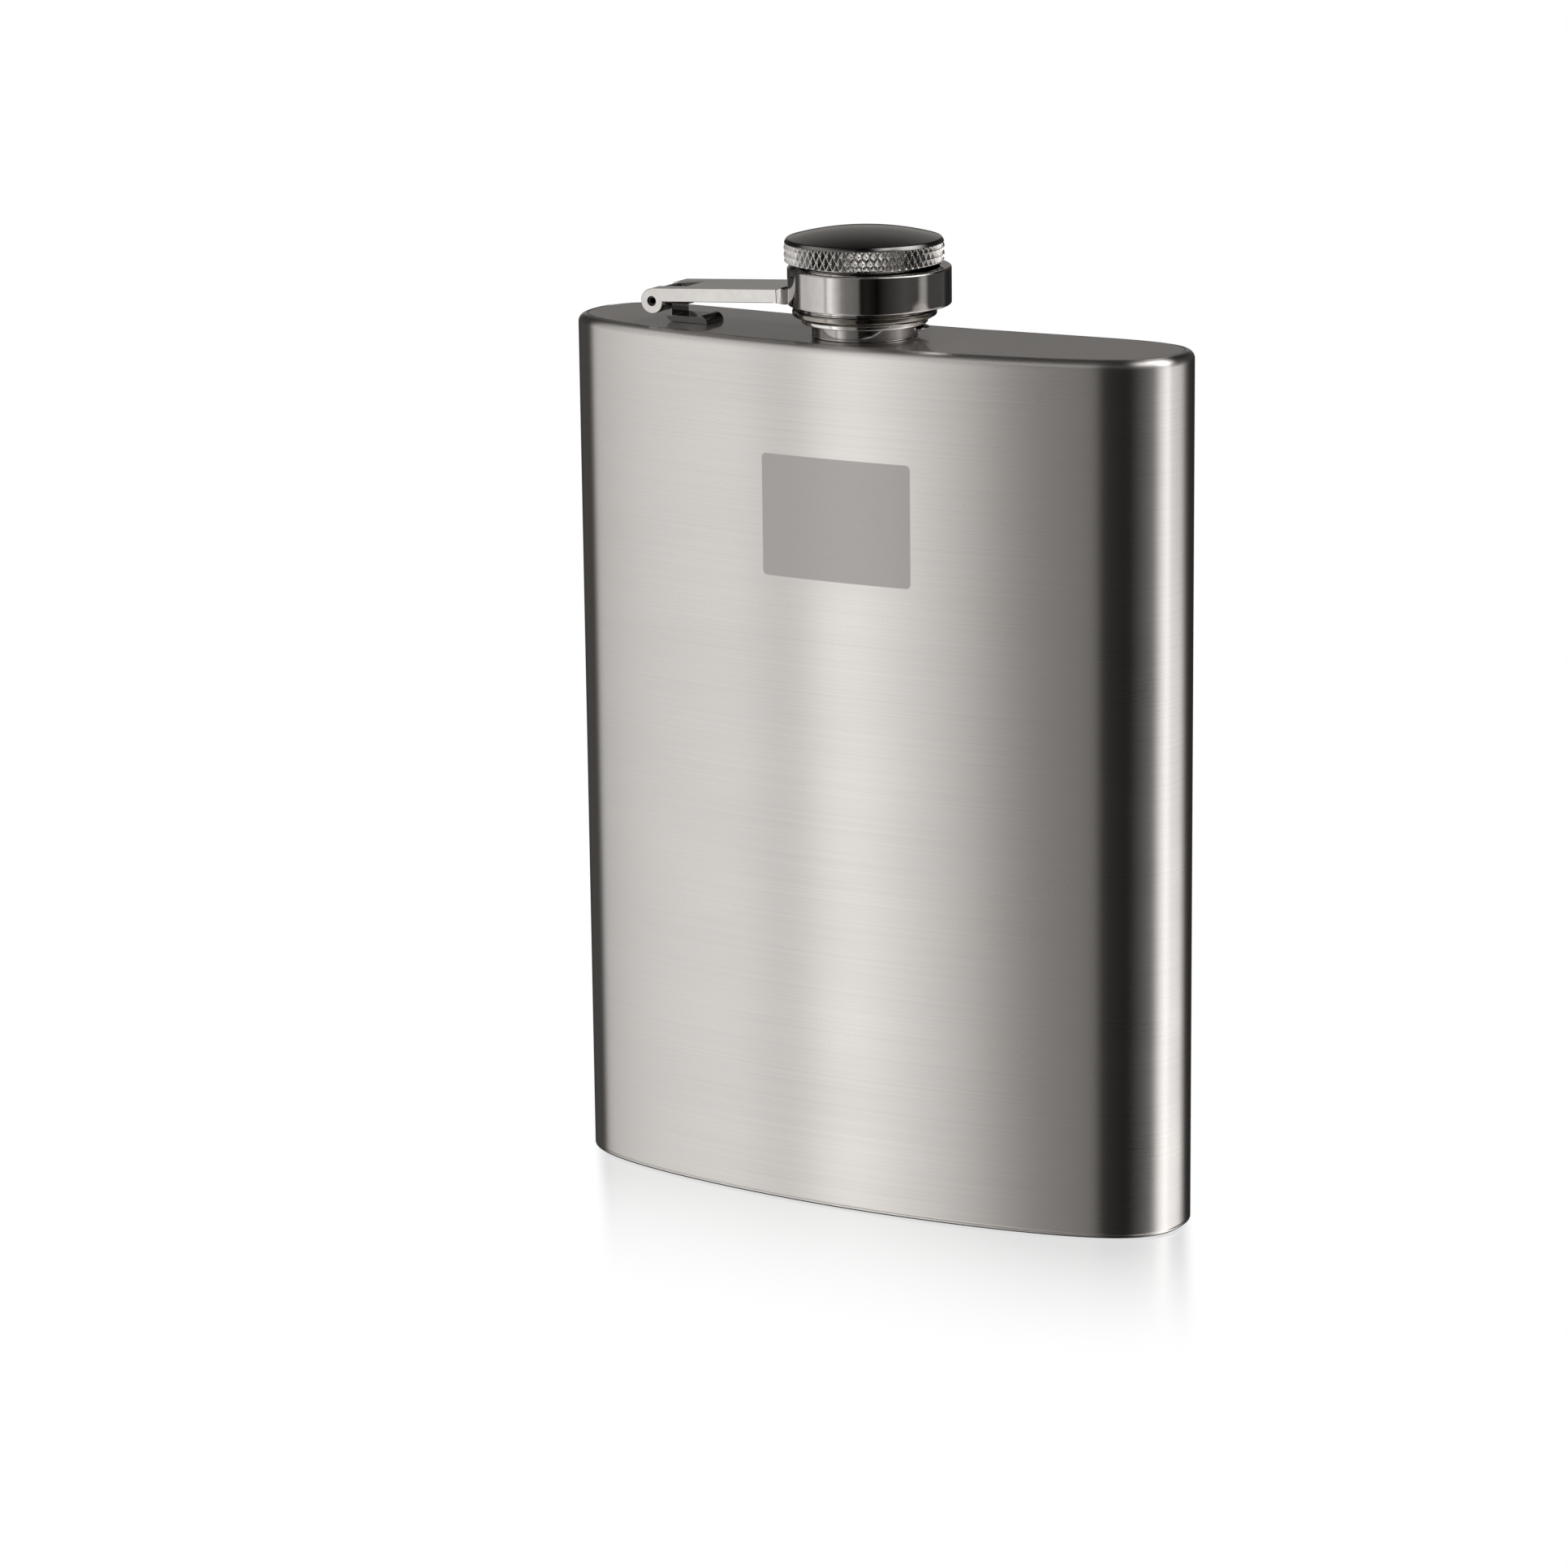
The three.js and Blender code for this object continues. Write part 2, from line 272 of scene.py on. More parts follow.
def apply(ob):
    bpy.context.view_layer.update()
    dg = bpy.context.evaluated_depsgraph_get()
    me = bpy.data.meshes.new_from_object(ob.evaluated_get(dg))
    old = ob.data
    ob.modifiers.clear()
    ob.data = me
    me.name = ob.name
    if old.users == 0:
        bpy.data.meshes.remove(old)


def boolean(ob, other, operation):
    m = ob.modifiers.new("bool", "BOOLEAN")
    m.operation = operation
    m.solver = "EXACT"
    m.object = other
    apply(ob)
    bpy.data.objects.remove(other)


def cylinder_y(name, r, y0, y1, x, z, n=64):
    t = np.arange(n) * 2 * math.pi / n
    return extrude_y(name, [(x + r * math.cos(a), z + r * math.sin(a)) for a in t], y0, y1, bevel=0)


# ------------------------------------------------------------------ shader helpers
def material(name):
    m = bpy.data.materials.new(name)
    m.use_nodes = True
    nt = m.node_tree
    bsdf = nt.nodes["Principled BSDF"]
    return m, nt, bsdf


def node(nt, kind, **props):
    n = nt.nodes.new(kind)
    for k, v in props.items():
        setattr(n, k, v)
    return n


def math_node(nt, op, a, b=None, clamp=False):
    n = nt.nodes.new("ShaderNodeMath")
    n.operation = op
    n.use_clamp = clamp
    for k, v in enumerate((a, b)):
        if v is None:
            continue
        if isinstance(v, (int, float)):
            n.inputs[k].default_value = v
        else:
            nt.links.new(v, n.inputs[k])
    return n.outputs[0]


def map_range(nt, value, a, b, c, d, smooth=False):
    n = nt.nodes.new("ShaderNodeMapRange")
    n.interpolation_type = "SMOOTHSTEP" if smooth else "LINEAR"
    nt.links.new(value, n.inputs["Value"])
    for k, v in zip(("From Min", "From Max", "To Min", "To Max"), (a, b, c, d)):
        n.inputs[k].default_value = v
    return n.outputs["Result"]


def noise(nt, vector, scale, detail=4.0, rough=0.55):
    n = nt.nodes.new("ShaderNodeTexNoise")
    n.inputs["Scale"].default_value = scale
    n.inputs["Detail"].default_value = detail
    n.inputs["Roughness"].default_value = rough
    nt.links.new(vector, n.inputs["Vector"])
    return n.outputs["Fac"]


def stretched(nt, vector, scale):
    n = nt.nodes.new("ShaderNodeVectorMath")
    n.operation = "MULTIPLY"
    nt.links.new(vector, n.inputs[0])
    n.inputs[1].default_value = scale
    return n.outputs[0]


def mix_colour(nt, fac, a, b):
    n = nt.nodes.new("ShaderNodeMix")
    n.data_type = "RGBA"
    nt.links.new(fac, n.inputs[0])
    for k, v in ((6, a), (7, b)):
        if isinstance(v, (tuple, list)):
            n.inputs[k].default_value = (*v, 1.0)
        else:
            nt.links.new(v, n.inputs[k])
    return n.outputs[2]


def mix_value(nt, fac, a, b):
    n = nt.nodes.new("ShaderNodeMix")
    n.data_type = "FLOAT"
    nt.links.new(fac, n.inputs[0])
    for k, v in ((2, a), (3, b)):
        if isinstance(v, (int, float)):
            n.inputs[k].default_value = v
        else:
            nt.links.new(v, n.inputs[k])
    return n.outputs[0]


def bump(nt, height, strength, distance, bsdf):
    n = nt.nodes.new("ShaderNodeBump")
    n.inputs["Strength"].default_value = strength
    n.inputs["Distance"].default_value = distance
    nt.links.new(height, n.inputs["Height"])
    nt.links.new(n.outputs["Normal"], bsdf.inputs["Normal"])
    return n


# ------------------------------------------------------------------ materials
STEEL = (0.815, 0.790, 0.765)
PANEL = (-10.35, 12.75, 89.95, 107.0)  # x and z of the plain etched panel, on the front


def brushed_steel():
    """Sheet brushed round the body: long fine lines along the perimeter, with a plain etched panel on the front."""
    m, nt, b = material("brushed_steel")
    uvn = node(nt, "ShaderNodeUVMap", uv_map="Brush")
    uv = uvn.outputs[0]  # (height, arc length) in mm
    geo = node(nt, "ShaderNodeTexCoord")
    obj = geo.outputs["Object"]
    fine = noise(nt, stretched(nt, uv, (13.0, 0.045, 1.0)), 1.0, 3.0, 0.6)
    hair = noise(nt, stretched(nt, uv, (5.0, 0.014, 1.0)), 1.0, 2.0, 0.6)
    cloud = noise(nt, stretched(nt, uv, (0.09, 0.03, 1.0)), 1.0, 2.0, 0.5)
    lines = math_node(nt, "ADD", math_node(nt, "MULTIPLY", fine, 0.45), math_node(nt, "MULTIPLY", hair, 0.55))
    tone = map_range(nt, lines, 0.30, 0.70, 0.0, 1.0)
    sheet = mix_colour(nt, tone, tuple(c * 0.925 for c in STEEL), tuple(c * 1.06 for c in STEEL))
    cl = map_range(nt, cloud, 0.35, 0.65, 0.0, 1.0)
    rough = math_node(nt, "ADD", map_range(nt, lines, 0.2, 0.8, 0.274, 0.289), map_range(nt, cloud, 0.3, 0.7, -0.012, 0.012))
    # panel: a rounded rectangle on the front
    sep = node(nt, "ShaderNodeSeparateXYZ")
    nt.links.new(obj, sep.inputs[0])
    x0, x1, z0, z1 = (v * 0.001 for v in PANEL)
    rad = 0.0007
    qx = math_node(nt, "SUBTRACT", math_node(nt, "ABSOLUTE", math_node(nt, "SUBTRACT", sep.outputs[0], (x0 + x1) / 2)), (x1 - x0) / 2 - rad)
    qz = math_node(nt, "SUBTRACT", math_node(nt, "ABSOLUTE", math_node(nt, "SUBTRACT", sep.outputs[2], (z0 + z1) / 2)), (z1 - z0) / 2 - rad)
    qx = math_node(nt, "MAXIMUM", qx, 0.0)
    qz = math_node(nt, "MAXIMUM", qz, 0.0)
    dist = math_node(nt, "SQRT", math_node(nt, "ADD", math_node(nt, "MULTIPLY", qx, qx), math_node(nt, "MULTIPLY", qz, qz)))
    inside = map_range(nt, dist, rad - 0.00005, rad + 0.00005, 1.0, 0.0, True)
    front = math_node(nt, "LESS_THAN", sep.outputs[1], 0.0)
    mask = math_node(nt, "MULTIPLY", inside, front)
    grit = noise(nt, stretched(nt, obj, (1.0, 1.0, 1.0)), 9000.0, 3.0, 0.6)
    etched = mix_colour(nt, map_range(nt, grit, 0.3, 0.7, 0.0, 1.0), tuple(c * 0.76 for c in STEEL), tuple(c * 0.85 for c in STEEL))
    nt.links.new(mix_colour(nt, mask, sheet, etched), b.inputs["Base Color"])
    nt.links.new(mix_value(nt, mask, rough, map_range(nt, grit, 0.3, 0.7, 0.38, 0.50)), b.inputs["Roughness"])
    b.inputs["Metallic"].default_value = 1.0
    b.inputs["Anisotropic"].default_value = 1.0
    tan = node(nt, "ShaderNodeTangent", direction_type="UV_MAP", uv_map="Brush")
    nt.links.new(tan.outputs[0], b.inputs["Tangent"])
    height = mix_value(nt, mask, 0.5, math_node(nt, "SUBTRACT", math_node(nt, "MULTIPLY", grit, 0.5), 1.2))
    bump(nt, height, 0.010, 0.000008, b)
    return m


def satin_steel():
    """The plates: a fine satin finish with a soft mirror in it."""
    m, nt, b = material("satin_steel")
    obj = node(nt, "ShaderNodeTexCoord").outputs["Object"]
    grain = noise(nt, stretched(nt, obj, (300.0, 6000.0, 300.0)), 1.0, 4.0, 0.6)
    cloud = noise(nt, obj, 120.0, 2.0, 0.5)
    nt.links.new(mix_colour(nt, map_range(nt, grain, 0.3, 0.7, 0.0, 1.0), (0.645, 0.607, 0.590), (0.737, 0.696, 0.678)), b.inputs["Base Color"])
    r = math_node(nt, "ADD", map_range(nt, grain, 0.3, 0.7, 0.40, 0.46), map_range(nt, cloud, 0.3, 0.7, -0.02, 0.02))
    b.inputs["Coat Weight"].default_value = 0.9
    b.inputs["Coat Roughness"].default_value = 0.06
    b.inputs["Coat IOR"].default_value = 1.7
    nt.links.new(r, b.inputs["Roughness"])
    b.inputs["Metallic"].default_value = 1.0
    bump(nt, grain, 0.15, 0.000008, b)
    return m


def polished_steel(name, colour=(0.63, 0.612, 0.592), lo=0.035, hi=0.10, scratch=0.12):
    """Buffed parts: a near mirror with a faint haze, hairlines and slightly worn patches."""
    m, nt, b = material(name)
    obj = node(nt, "ShaderNodeTexCoord").outputs["Object"]
    haze = noise(nt, obj, 260.0, 3.0, 0.6)
    hair = noise(nt, stretched(nt, obj, (1500.0, 1500.0, 9000.0)), 1.0, 3.0, 0.7)
    wear = noise(nt, obj, 900.0, 2.0, 0.5)
    r = math_node(nt, "ADD", map_range(nt, haze, 0.3, 0.7, lo, hi), map_range(nt, hair, 0.55, 0.8, 0.0, 0.05))
    nt.links.new(r, b.inputs["Roughness"])
    nt.links.new(mix_colour(nt, map_range(nt, wear, 0.35, 0.7, 0.0, 1.0), colour, tuple(c * 0.93 for c in colour)), b.inputs["Base Color"])
    b.inputs["Metallic"].default_value = 1.0
    bump(nt, math_node(nt, "ADD", math_node(nt, "MULTIPLY", hair, 0.35), haze), scratch, 0.000012, b)
    return m


def silicone():
    m, nt, b = material("silicone")
    obj = node(nt, "ShaderNodeTexCoord").outputs["Object"]
    n = noise(nt, obj, 700.0, 3.0, 0.6)
    nt.links.new(mix_colour(nt, n, (0.80, 0.79, 0.76), (0.88, 0.875, 0.85)), b.inputs["Base Color"])
    nt.links.new(map_range(nt, n, 0.3, 0.7, 0.42, 0.55), b.inputs["Roughness"])
    b.inputs["Subsurface Weight"].default_value = 0.25
    b.inputs["Subsurface Radius"].default_value = (0.001, 0.001, 0.001)
    b.inputs["Subsurface Scale"].default_value = 1.0
    bump(nt, n, 0.1, 0.00002, b)
    return m


M_BRUSH = brushed_steel()
M_SATIN = satin_steel()
M_POLISH = polished_steel("polished_steel")
M_KNURL = polished_steel("knurled_steel", (0.70, 0.685, 0.665), 0.10, 0.18, 0.05)
M_DOME = polished_steel("dome_steel", (0.62, 0.60, 0.58), 0.12, 0.17, 0.10)
# painted shade: a darker copy of the polished steel, standing in for the dark surroundings these parts reflect
M_SHADE_STEEL = polished_steel("steel_painted_shade", (0.15, 0.146, 0.141), 0.05, 0.11, 0.08)
# painted shade: near black for the shade inside the pin's drilled ends
M_RECESS_SHADE = polished_steel("recess_painted_shade", (0.035, 0.033, 0.031), 0.35, 0.5, 0.2)
# painted shade: a darker copy of the steel for the cap's rounded shoulder, standing in for its dark reflection
M_LIP_SHADE = polished_steel("lip_painted_shade", (0.24, 0.233, 0.226), 0.10, 0.15, 0.06)
# painted shade: the collar under the cap gets a darker, slightly warm copy of the polished steel
M_COLLAR_SHADE = polished_steel("collar_painted_shade", (0.40, 0.372, 0.340), 0.05, 0.11, 0.10)
# painted shade: the neck under the cap gets a darker copy of the polished steel
M_SPOUT_SHADE = polished_steel("spout_painted_shade", (0.46, 0.446, 0.432), 0.05, 0.12, 0.12)
# painted highlight: a brighter copy of the polished steel, standing in for the bright floor the sleeve's lower
# chamfer reflects
M_SLEEVE_LIT = polished_steel("sleeve_painted_highlight", (0.92, 0.90, 0.88), 0.05, 0.12, 0.10)
M_SILICONE = silicone()


def finish_piece(ob, mat, body, nodes):
    ob.data.materials.clear()
    for one in mat if isinstance(mat, (list, tuple)) else [mat]:
        ob.data.materials.append(one)
    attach(ob, body)
    if nodes:
        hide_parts(*nodes)
    return ob


# ------------------------------------------------------------------ body
RT, RB, WALL, SEAM = 1.2, 0.4, 0.6, 1.25


def arc(cx, cz, r, a0, a1, n):
    return [(cx + r * math.cos(math.radians(a0 + (a1 - a0) * k / n)),
             cz + r * math.sin(math.radians(a0 + (a1 - a0) * k / n))) for k in range(n + 1)]


wall = []
wall += arc(RB, RB, RB, -90, -180, 6)
wall += [(0, RB + 0.06), (0.02, RB + 0.10), (0.09, RB + 0.16), (0.02, RB + 0.22), (0, RB + 0.26), (0, RB + 0.40), (0, RB + 1.0), (0, 6.0), (0, 40.0), (0, 80.0), (0, H - 8.0), (0, H - RT - 0.6), (0, H - RT - 0.15)]
wall += arc(RT, H - RT, RT, 180, 100, 10)
wall += [(SEAM - 0.10, H - 0.012), (SEAM - 0.03, H - 0.07), (SEAM, H - 0.22), (SEAM, H - 1.3),
         (WALL + 0.1, H - 1.9), (WALL, H - 2.2), (WALL, H - 3.0), (WALL, 60.0), (WALL, 0.6), (WALL, 0.02)]
V, F, UV = sleeve("body_shell", wall)
shell = mesh_object("flask_wall", V, F, uv=UV)
finish_piece(shell, M_BRUSH, ROOT, ["body_shell"])
# painted shade: the lowest strip of the wall, along the foot where it meets the floor, gets the darker steel
shell.data.materials.append(M_SHADE_STEEL)
for poly in shell.data.polygons:
    if poly.center.z < 0.00026:
        poly.material_index = len(shell.data.materials) - 1


def plate(name, first, z_face, z_back, edge, hole=None, n=360):
    """A flat plate inside the body's outline: rounded at its edge, flat elsewhere, with a hole for the neck if asked."""
    s = 1 if z_face > z_back else -1
    prof = [(first, z_back), (first, z_face - s * edge), (first + edge * 0.18, z_face - s * edge * 0.42),
            (first + edge * 0.6, z_face - s * edge * 0.10), (first + edge, z_face), (first + edge + 0.25, z_face)]
    V, F, _ = sleeve(name, prof, n=n, closed=False)
    V, F = list(map(tuple, V)), list(F)
    k = len(prof)
    p, nrm, _s = section(n)
    face_ring = [(k - 1) * n + j for j in range(n)]
    back_ring = [j for j in range(n)]
    for ring, z in ((face_ring, z_face), (back_ring, z_back)):
        loops = [[Vector((V[i][0], V[i][1], 0)) for i in ring]]
        ids = list(ring)
        if hole:
            m = 96
            start = len(V)
            c = [(AX + hole * math.cos(-2 * math.pi * q / m), AY + hole * math.sin(-2 * math.pi * q / m)) for q in range(m)]
            for x, y in c:
                V.append((x, y, z))
            loops.append([Vector((x, y, 0)) for x, y in c])
            hole_ids = [start + q for q in range(m)]
            ids += hole_ids
            if ring is face_ring:
                hole_face = hole_ids
            else:
                hole_back = hole_ids
        for t in tessellate_polygon(loops):
            F.append(tuple(ids[i] for i in t))
    if hole:
        m = len(hole_face)
        for q in range(m):
            F.append((hole_face[q], hole_face[(q + 1) % m], hole_back[(q + 1) % m], hole_back[q]))
    return mesh_object(name, V, F, angle=40)


top = plate("shoulder_plate", SEAM + 0.03, H, H - 0.8, 0.22, hole=7.36)
finish_piece(top, M_SATIN, ROOT, ["top_plate"])
base = plate("bottom_plate", WALL + 0.03, 0.0, 0.8, 0.25)
finish_piece(base, M_SATIN, ROOT, ["base_plate"])

# ------------------------------------------------------------------ neck with its thread
NECK_R, BORE_R, RIM = 7.3, 6.0, 9.0
PITCH, CREST, ROOT_R = 1.5, 7.45, 6.93


def neck_piece():
    n = 256
    zs = np.linspace(1.85, 8.55, 110)
    outer = [(BORE_R, -1.65, 0), (8.6, -1.65, 0.1), (8.6, -0.86, 0.1), (7.3, -0.86, 0), (7.3, -0.02, 0)]
    prof = list(rounded(outer, closed=False)) + [np.array(q) for q in arc(NECK_R + 0.16, 0.17, 0.16, 270, 180, 5)]
    prof += [np.array((NECK_R, 0.35)), np.array((NECK_R, 1.6))]
    prof += [np.array((NECK_R - (NECK_R - ROOT_R) * min(1, (z - 1.85) / 0.5), z)) for z in zs]
    rim = rounded([(ROOT_R, 8.6), (ROOT_R, RIM, 0.28), (BORE_R, RIM, 0.25), (BORE_R, 8.0)], closed=False, steps=6)
    prof += list(rim)
    prof += [np.array((BORE_R, 4.0)), np.array((BORE_R, 0.0))]

    def thread(T, R, Z):
        ph = ((Z - 2.3) / PITCH - T / (2 * math.pi)) % 1.0
        tri = 1 - np.abs(ph - 0.5) / 0.36
        ridge = np.clip(tri * 1.35, 0, 1)
        ridge = ridge * ridge * (3 - 2 * ridge)
        fade = np.clip((Z - 2.0) / 0.7, 0, 1) * np.clip((8.5 - Z) / 0.6, 0, 1)
        on = (R > 6.8) & (Z > 1.9) & (Z < 8.56)
        base = NECK_R - (NECK_R - ROOT_R) * np.clip((Z - 1.85) / 0.5, 0, 1)
        return np.where(on, (CREST - base) * ridge * fade, 0.0)

    return lathe("neck_spout", prof, n=n, closed=True, angle=60, shift=thread)


# painted shade: the neck is coloured darker for the shade under the cap
finish_piece(neck_piece(), M_SPOUT_SHADE, ROOT, ["neck"])


def thread_start():
    """The sharp end of the neck's thread, standing out just above the plate."""
    at = math.radians(30.2)  # seen from +X towards +Y
    n = 28
    prof = [(7.20, 0.42), (7.62, 0.62), (8.86, 1.02), (8.90, 1.12), (8.60, 1.26), (7.62, 1.52), (7.20, 1.66)]
    V, F = [], []
    for i in range(n + 1):
        t = i / n
        a = at + math.radians(-19 + 34 * t)
        k = math.sin(math.pi * min(1.0, t * 1.02)) ** 0.7 if 0 < t < 1 else 0.0
        for r, z in prof:
            rr = 7.2 + (r - 7.2) * k
            zz = 1.04 + (z - 1.04) * (0.35 + 0.65 * k) + 0.25 * (t - 0.5)
            V.append((AX + rr * math.cos(a), AY + rr * math.sin(a), H + zz))
    m = len(prof)
    for i in range(n):
        for j in range(m):
            j2 = (j + 1) % m
            F.append((i * m + j, i * m + j2, (i + 1) * m + j2, (i + 1) * m + j))
    F.append(tuple(range(m)))
    F.append(tuple(n * m + j for j in range(m))[::-1])
    return mesh_object("thread_start", V, F, angle=30)


# painted shade: the thread's end gets the same darker neck steel
finish_piece(thread_start(), M_SPOUT_SHADE, ROOT, [])

# ------------------------------------------------------------------ hinge
STRIP_W, STRIP_T, CURL = 4.5, 0.92, 1.12


def bracket():
    h = STRIP_T / 2
    line = []
    for a in np.linspace(286, 0, 48):
        t = math.radians(a)
        line.append((CURL * math.cos(t), CURL * math.sin(t), math.cos(t), math.sin(t)))
    x_post, bend, z_foot = CURL, 0.50, -PZ + 0.02 + h
    for z in np.linspace(-0.2, z_foot + bend, 6):
        line.append((x_post, z, 1.0, 0.0))
    for a in np.linspace(180, 270, 10)[1:]:
        t = math.radians(a)
        line.append((x_post + bend + bend * math.cos(t), z_foot + bend + bend * math.sin(t), -math.cos(t), -math.sin(t)))
    bead_x, bead_r = 6.1, 1.13
    top_z = z_foot + h
    reach = math.sqrt(bead_r**2 - (top_z + PZ) ** 2)
    line.append((bead_x - reach - 0.25, z_foot, 0.0, 1.0))
    outer = [(x + nx * h, z + nz * h) for x, z, nx, nz in line]
    inner = [(x - nx * h, z - nz * h) for x, z, nx, nz in line]
    a0 = math.degrees(math.atan2(top_z + PZ, -reach))
    end = [(bead_x + bead_r * math.cos(math.radians(a)), -PZ + 0.02 + bead_r * math.sin(math.radians(a)) * (1.0))
           for a in np.linspace(a0, 0, 14)]
    outline = outer + end + inner[::-1]
    return extrude_y("hinge_strip", [(PX + x, H + PZ + z) for x, z in outline],
                     AY - STRIP_W / 2, AY + STRIP_W / 2, bevel=0.11, segments=3, angle=40)


# painted shade: the hinge strip gets the darker copy of the steel
finish_piece(bracket(), M_SHADE_STEEL, ROOT, ["hinge_bracket"])


def pin():
    """A tubular rivet: both ends are drilled."""
    prof = rounded([(0, -3.4), (0.40, -3.4, 0.1), (0.46, -4.8, 0.04), (0.60, -4.8, 0.07), (0.60, 4.8, 0.07),
                    (0.46, 4.8, 0.04), (0.40, 3.4, 0.1), (0, 3.4)], closed=False, steps=4)
    n = 64
    V, F = [], []
    for r, y in prof:
        for j in range(n):
            t = 2 * math.pi * j / n
            V.append((PX + r * math.cos(t), AY + y, H + PZ + r * math.sin(t)))
    for i in range(len(prof) - 1):
        for j in range(n):
            j2 = (j + 1) % n
            if prof[i][0] < 1e-6:
                F.append((i * n, (i + 1) * n + j2, (i + 1) * n + j))
            elif prof[i + 1][0] < 1e-6:
                F.append((i * n + j, i * n + j2, (i + 1) * n))
            else:
                F.append((i * n + j, i * n + j2, (i + 1) * n + j2, (i + 1) * n + j))
    used = sorted({i for f in F for i in f})
    index = {o: c for c, o in enumerate(used)}
    ob = mesh_object("hinge_axle", [V[i] for i in used], [tuple(index[i] for i in f) for f in F], angle=50)
    # painted shade: the pin gets the darker steel, and its drilled ends near black
    ob.data.materials.append(M_SHADE_STEEL)
    ob.data.materials.append(M_RECESS_SHADE)
    for poly in ob.data.polygons:
        rad = math.hypot(poly.center.x - PX * 0.001, poly.center.z - (H + PZ) * 0.001)
        if rad < 0.00045:
            poly.material_index = 1
    return ob


axle = pin()
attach(axle, ARM)
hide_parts("hinge_pin")

# ------------------------------------------------------------------ arm and ring
RING_R, RING_BORE = 11.27, 9.65
ARM_W, ARM_T, ARM_TOP, SLOPE = 10.2, 1.85, 1.75, 3.4


def arm():
    from mathutils import Matrix

    place = (Matrix.Translation((PX * 0.001, AY * 0.001, (H + PZ) * 0.001))
             @ Matrix.Rotation(math.radians(-SLOPE), 4, "Y"))
    z0, z1 = ARM_TOP - ARM_T, ARM_TOP
    w = ARM_W / 2
    ob = extrude_y("cap_arm", [(0, z0), (26, z0), (26, z1), (0, z1)], -w, w, bevel=0, place=place)
    lobe = [(1.75 * math.cos(a), 1.75 * math.sin(a)) for a in np.arange(96) * 2 * math.pi / 96]
    boolean(ob, extrude_y("t", lobe, -w, w, bevel=0, place=place), "UNION")
    # the bar flares a little where it is soldered to the ring, then draws in
    flare = [(20.15, z0 + 0.02), (20.9, z0 - 0.16), (21.3, z0 - 0.22), (26, z0 - 0.30),
             (26, z1 - 0.30), (21.9, z1 - 0.28), (20.9, z1 + 0.26), (20.15, z1 - 0.02)]
    boolean(ob, extrude_y("t", flare, -w - 0.08, w + 0.08, bevel=0, place=place), "UNION")
    for sgn in (-1, 1):
        wedge = bpy.data.meshes.new("t")
        q = [(20.95, w + 0.09), (26.5, w - 1.6), (26.5, w + 2), (20.95, w + 2)]
        lo = [(x, sgn * y, z0 - 2) for x, y in q]
        hi = [(x, sgn * y, z1 + 2) for x, y in q]
        wedge.from_pydata([tuple(c * 0.001 for c in v) for v in lo + hi], [],
                          [(0, 1, 2, 3), (7, 6, 5, 4), (0, 4, 5, 1), (1, 5, 6, 2), (2, 6, 7, 3), (3, 7, 4, 0)])
        bm = bmesh.new()
        bm.from_mesh(wedge)
        bmesh.ops.recalc_face_normals(bm, faces=bm.faces)
        bm.to_mesh(wedge)
        bm.free()
        wedge.transform(place)
        cutter = bpy.data.objects.new("t", wedge)
        bpy.context.scene.collection.objects.link(cutter)
        boolean(ob, cutter, "DIFFERENCE")
    boolean(ob, extrude_y("t", [(-4, -5), (4.2, -5), (4.2, 5), (-4, 5)], -2.35, 2.35, bevel=0, place=place), "DIFFERENCE")
    hole = [(0.66 * math.cos(a), 0.66 * math.sin(a)) for a in np.arange(48) * 2 * math.pi / 48]
    boolean(ob, extrude_y("t", hole, -w - 1, w + 1, bevel=0, place=place), "DIFFERENCE")
    cut = lathe("t", [(0, -3), (RING_R + 0.02, -3), (RING_R + 0.02, 14), (0, 14)], n=256, cx=RX, closed=False)
    boolean(ob, cut, "DIFFERENCE")
    bm = bmesh.new()
    bm.from_mesh(ob.data)
    bmesh.ops.remove_doubles(bm, verts=bm.verts, dist=2e-6)
    bmesh.ops.dissolve_limit(bm, angle_limit=math.radians(0.6), verts=bm.verts, edges=bm.edges)
    bmesh.ops.dissolve_degenerate(bm, dist=2e-6, edges=bm.edges)
    bm.to_mesh(ob.data)
    bm.free()
    round_edges(ob, 0.10, 3, 30, clamp=False)
    return ob


finish_piece(arm(), M_POLISH, ARM, ["captive_arm"])
ring = lathe("cap_ring", rounded([
    (RING_BORE, 4.4, 0.25), (RING_R, 4.4, 0.22), (RING_R, 9.6, 0.30), (RING_BORE, 9.6, 0.30)], steps=6),
    n=320, cx=RX)
finish_piece(ring, M_POLISH, ARM, ["swivel_ring"])

# ------------------------------------------------------------------ cap
HEAD_R, KN_LO, KN_HI, SHOULDER, TOP_Z = 11.0, 10.2, 12.9, 13.43, 14.87


